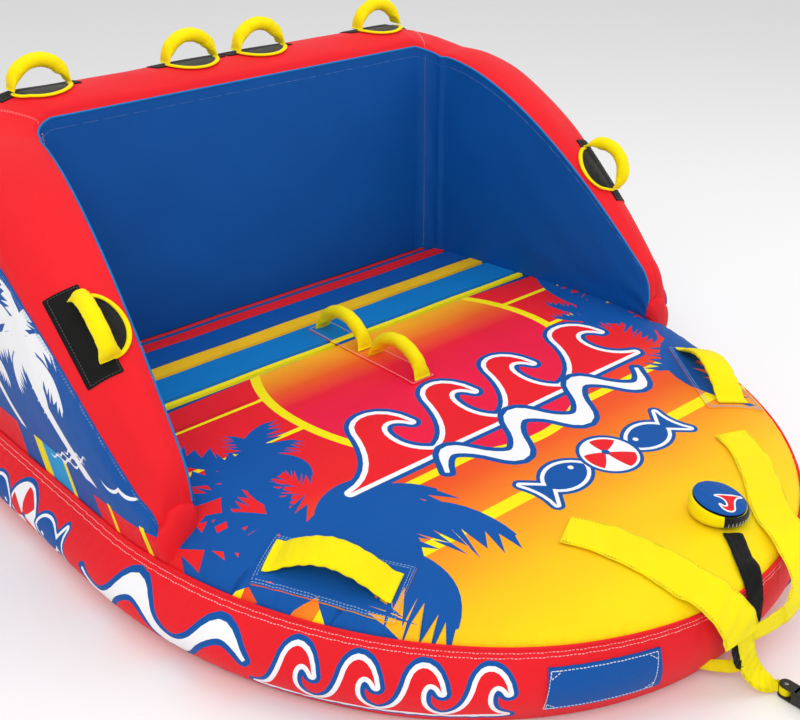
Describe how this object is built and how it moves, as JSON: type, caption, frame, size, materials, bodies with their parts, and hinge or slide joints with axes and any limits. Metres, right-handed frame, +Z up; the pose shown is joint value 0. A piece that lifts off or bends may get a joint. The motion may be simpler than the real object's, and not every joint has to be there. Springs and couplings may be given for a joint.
{
  "type": "towable tube",
  "caption": "Inflatable ride-on towable tube for riders seated side by side, with a wraparound backrest, padded handles, a tow strap harness and a quick tow connector.",
  "frame": {"origin": "centre of the bounding box, on the underside that lies on the water or floor", "axes": "+Z up, -Y towards the tow point and the nose, +Y towards the backrest, +X to the rider's left when seated facing the nose"},
  "size_m": [1.584, 1.9561, 0.9134],
  "materials": {
    "bladder_vinyl": "smooth heavy-gauge vinyl",
    "printed_cover": "printed woven nylon, sunset and palm pattern",
    "red_cover": "coated woven nylon, satin",
    "base_cover": "coated woven nylon, satin",
    "blue_cover": "coated woven nylon, satin",
    "seam_thread": "double row of stitching",
    "yellow_fabric": "nylon sleeve over foam",
    "yellow_webbing": "heavy ribbed webbing",
    "black_webbing": "heavy ribbed webbing",
    "guard_fabric": "neoprene-like knuckle guard, bound edge",
    "black_plastic": "moulded nylon",
    "seal_rubber": "soft seal",
    "zip_tape": "woven tape with moulded teeth",
    "zip_metal": "die-cast slider"
  },
  "bodies": {
    "tube": {"deck_bladder": "bladder_vinyl", "deck_top_cover": "printed_cover", "deck_side_band": "red_cover", "deck_bottom_cover": "base_cover", "deck_seam_tape": "seam_thread", "backrest_bladder": "bladder_vinyl", "inner_back_panel": "blue_cover", "inner_arm_panel_left": "blue_cover", "inner_arm_panel_right": "blue_cover", "rim_band_left": "red_cover", "rim_band_back": "red_cover", "rim_band_right": "red_cover", "outer_arm_panel_left": "printed_cover", "outer_arm_panel_right": "printed_cover", "rear_panel": "blue_cover", "back_handle_1_patch": "black_webbing", "back_handle_1_guard": "guard_fabric", "back_handle_2_patch": "black_webbing", "back_handle_2_guard": "guard_fabric", "back_handle_3_patch": "black_webbing", "back_handle_3_guard": "guard_fabric", "back_handle_4_patch": "black_webbing", "back_handle_4_guard": "guard_fabric", "arm_handle_left_patch": "black_webbing", "arm_handle_left_guard": "guard_fabric", "arm_handle_right_patch": "black_webbing", "arm_handle_right_guard": "guard_fabric", "seat_handle_base": "printed_cover", "deck_handle_left": "yellow_fabric", "deck_handle_right": "yellow_fabric", "deck_handle_patch_left": "printed_cover", "deck_handle_patch_right": "printed_cover", "deck_valve_body": "black_plastic", "back_valve_body": "black_plastic", "side_patch_left": "blue_cover", "side_patch_right": "blue_cover", "tow_strap_left": "yellow_webbing", "tow_strap_right": "yellow_webbing", "tow_strap_centre": "black_webbing", "tow_strap_lower": "yellow_webbing", "deck_zip": "zip_tape", "backrest_zip": "zip_tape"},
    "back_handle_1": {"back_handle_1_grip": "yellow_fabric"},
    "back_handle_2": {"back_handle_2_grip": "yellow_fabric"},
    "back_handle_3": {"back_handle_3_grip": "yellow_fabric"},
    "back_handle_4": {"back_handle_4_grip": "yellow_fabric"},
    "arm_handle_left": {"arm_handle_left_grip": "yellow_fabric"},
    "arm_handle_right": {"arm_handle_right_grip": "yellow_fabric"},
    "seat_handle_rear": {"seat_handle_rear_grip": "yellow_fabric"},
    "seat_handle_front": {"seat_handle_front_grip": "yellow_fabric"},
    "deck_valve_seal": {"deck_valve_seal": "seal_rubber"},
    "deck_valve_cap": {"deck_valve_cap": "black_plastic"},
    "deck_valve_cover": {"deck_valve_cover": "blue_cover"},
    "back_valve_seal": {"back_valve_seal": "seal_rubber"},
    "back_valve_cap": {"back_valve_cap": "black_plastic"},
    "tow_tail": {"tow_tail": "yellow_webbing"},
    "tow_connector": {"tow_connector": "black_plastic"},
    "deck_zip_slider": {"deck_zip_slider": "zip_metal"},
    "backrest_zip_slider": {"backrest_zip_slider": "zip_metal"}
  },
  "joints": [
    {"name": "back_handle_1_swing", "type": "hinge", "parent": "tube", "child": "back_handle_1", "pos_m": [-0.468, 0.79, 0.841], "axis": [1, 0, 0], "range_deg": [-40, 40]},
    {"name": "back_handle_2_swing", "type": "hinge", "parent": "tube", "child": "back_handle_2", "pos_m": [-0.097, 0.79, 0.841], "axis": [1, 0, 0], "range_deg": [-40, 40]},
    {"name": "back_handle_3_swing", "type": "hinge", "parent": "tube", "child": "back_handle_3", "pos_m": [0.097, 0.79, 0.841], "axis": [1, 0, 0], "range_deg": [-40, 40]},
    {"name": "back_handle_4_swing", "type": "hinge", "parent": "tube", "child": "back_handle_4", "pos_m": [0.468, 0.79, 0.841], "axis": [1, 0, 0], "range_deg": [-40, 40]},
    {"name": "arm_handle_left_swing", "type": "hinge", "parent": "tube", "child": "arm_handle_left", "pos_m": [-0.69575, 0.20324, 0.55533], "axis": [0, -0.7547, -0.6561], "range_deg": [-40, 40]},
    {"name": "arm_handle_right_swing", "type": "hinge", "parent": "tube", "child": "arm_handle_right", "pos_m": [0.69575, 0.20324, 0.55533], "axis": [0, -0.7547, -0.6561], "range_deg": [-40, 40]},
    {"name": "seat_handle_rear_swing", "type": "hinge", "parent": "tube", "child": "seat_handle_rear", "pos_m": [0, 0.366, 0.255], "axis": [0, 1, 0], "range_deg": [-40, 40]},
    {"name": "seat_handle_front_swing", "type": "hinge", "parent": "tube", "child": "seat_handle_front", "pos_m": [0, 0.174, 0.255], "axis": [0, 1, 0], "range_deg": [-40, 40]},
    {"name": "deck_valve_seal_lift", "type": "slide", "parent": "tube", "child": "deck_valve_seal", "axis": [0, 0, 1], "range_m": [0, 0.004]},
    {"name": "deck_valve_cap_turn", "type": "hinge", "parent": "deck_valve_seal", "child": "deck_valve_cap", "pos_m": [0.11, -0.6, 0.2145], "axis": [0, 0, 1], "range_deg": [0, 360]},
    {"name": "deck_valve_cover_open", "type": "hinge", "parent": "tube", "child": "deck_valve_cover", "pos_m": [0.11, -0.544, 0.21], "axis": [-1, 0, 0], "range_deg": [0, 110]},
    {"name": "back_valve_seal_lift", "type": "slide", "parent": "tube", "child": "back_valve_seal", "axis": [0, 0.9928, -0.12], "range_m": [0, 0.004]},
    {"name": "back_valve_cap_turn", "type": "hinge", "parent": "back_valve_seal", "child": "back_valve_cap", "pos_m": [0.3, 0.94168, 0.31555], "axis": [0, 0.9928, -0.12], "range_deg": [0, 360]},
    {"name": "tow_tail_lift", "type": "hinge", "parent": "tube", "child": "tow_tail", "pos_m": [0, -0.788, 0.046], "axis": [-1, 0, 0], "range_deg": [0, 60]},
    {"name": "tow_connector_swing", "type": "hinge", "parent": "tow_tail", "child": "tow_connector", "pos_m": [0, -0.846, 0.013], "axis": [0, 0, 1], "range_deg": [-45, 45]},
    {"name": "deck_zip_slide", "type": "slide", "parent": "tube", "child": "deck_zip_slider", "axis": [1, 0, 0], "range_m": [0, 0.72]},
    {"name": "backrest_zip_slide", "type": "slide", "parent": "tube", "child": "backrest_zip_slider", "axis": [1, 0, 0], "range_m": [0, 0.72]}
  ],
  "couplings": [
    {"joint": "deck_valve_seal_lift", "follows": "deck_valve_cap_turn", "m_per_rad": 0.00063662},
    {"joint": "back_valve_seal_lift", "follows": "back_valve_cap_turn", "m_per_rad": 0.00063662}
  ]
}
